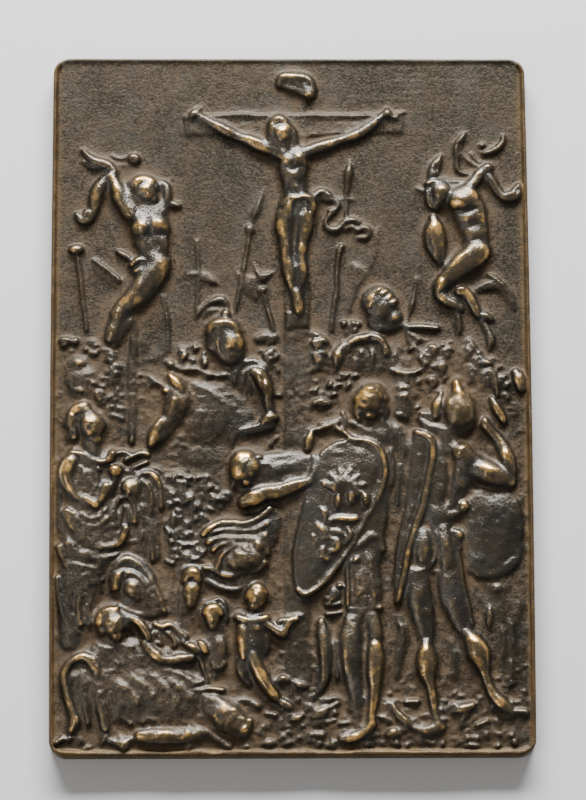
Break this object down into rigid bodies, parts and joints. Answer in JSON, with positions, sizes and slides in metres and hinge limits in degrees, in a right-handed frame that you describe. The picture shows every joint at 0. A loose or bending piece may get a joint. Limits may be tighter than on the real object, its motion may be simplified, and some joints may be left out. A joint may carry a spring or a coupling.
{
  "type": "bronze relief plaquette",
  "caption": "Upright rectangular cast bronze plaquette with rounded corners, a low rim and a many-figured religious relief on its face; the back is flat.",
  "frame": {"origin": "middle of the flat back, with the plaquette lying face up on it", "axes": "+Z out of the relief, +Y towards the top of its picture, +X towards the picture's right"},
  "size_m": [0.08, 0.118, 0.0069],
  "materials": {
    "bronze": "dark brown patina, worn golden on the high points, tan deposit in the hollows"
  },
  "bodies": {
    "root": {"plaquette": "bronze"}
  },
  "joints": []
}
